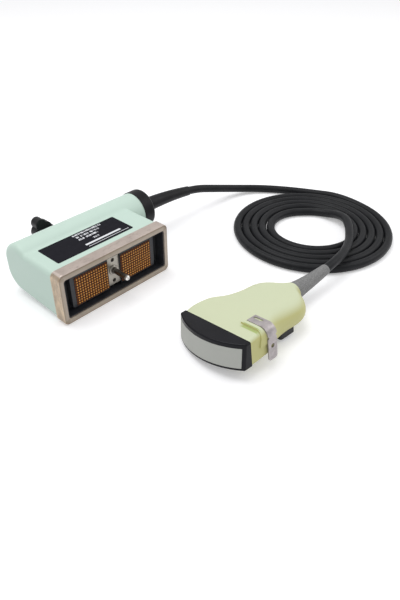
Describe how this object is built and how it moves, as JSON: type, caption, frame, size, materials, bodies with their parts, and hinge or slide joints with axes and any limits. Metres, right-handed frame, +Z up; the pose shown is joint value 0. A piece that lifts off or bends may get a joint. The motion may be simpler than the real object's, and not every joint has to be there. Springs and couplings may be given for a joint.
{
  "type": "ultrasound transducer probe",
  "caption": "Curved-array ultrasound probe with a coiled cable and a boxy contact connector, whose winged knob turns a lock spindle.",
  "frame": {"origin": "middle of the connector shroud's base face, on the surface that all stands on", "axes": "+X along the connector towards its cable, +Y from its mouth to its knob, +Z up"},
  "size_m": [0.3531, 0.2568, 0.0513],
  "materials": {
    "tarnished_shroud": "plated metal, dulled and stained",
    "black_insert": "moulded black plastic",
    "amber_block": "amber filled resin with pale contacts",
    "circuit_board": "circuit laminate",
    "lock_steel": "machined steel",
    "spindle_steel": "dark turned steel",
    "screw_steel": "blackened steel",
    "mint_housing": "satin moulded plastic",
    "bush_brass": "turned bush",
    "knob_plastic": "satin black plastic",
    "collar_plastic": "satin black plastic",
    "relief_rubber": "moulded black rubber",
    "clamp_metal": "turned ring",
    "plate_charcoal": "printed charcoal plate",
    "cable_jacket": "matt cable jacket",
    "probe_plastic": "satin moulded plastic",
    "nose_plastic": "glossy black plastic",
    "lens_rubber": "matt silicone",
    "array_ceramic": "ceramic array in its backing",
    "grommet_rubber": "rubber",
    "grey_relief": "grained grey rubber",
    "bracket_sheet": "dull coated sheet",
    "foot_rubber": "black rubber"
  },
  "bodies": {
    "root": {"contact_shroud": "tarnished_shroud", "insert_carrier": "black_insert", "contact_block_left": "amber_block", "contact_block_right": "amber_block", "contact_board": "circuit_board", "latch_plate": "lock_steel", "plate_screws": "screw_steel", "spindle_bush": "lock_steel", "connector_housing": "mint_housing", "rear_bush": "bush_brass", "cable_collar": "collar_plastic", "connector_strain_relief": "relief_rubber", "clamp_ring": "clamp_metal", "label_plate": "plate_charcoal", "cable_lead": "cable_jacket", "cable_coil": "cable_jacket", "cable_tail": "cable_jacket", "probe_shell_upper": "probe_plastic", "probe_shell_lower": "probe_plastic", "nosepiece": "nose_plastic", "acoustic_lens": "lens_rubber", "transducer_array": "array_ceramic", "array_flex": "circuit_board", "handle_grommet": "grommet_rubber", "probe_strain_relief": "grey_relief", "guide_bracket": "bracket_sheet", "underside_foot": "foot_rubber"},
    "lock": {"spindle": "spindle_steel", "spindle_clip": "spindle_steel", "lock_knob": "knob_plastic", "knob_cap": "knob_plastic"}
  },
  "joints": [
    {"name": "lock_turn", "type": "hinge", "parent": "root", "child": "lock", "pos_m": [0, 0, 0.0243], "axis": [0, -1, 0], "range_deg": [0, 90]}
  ]
}
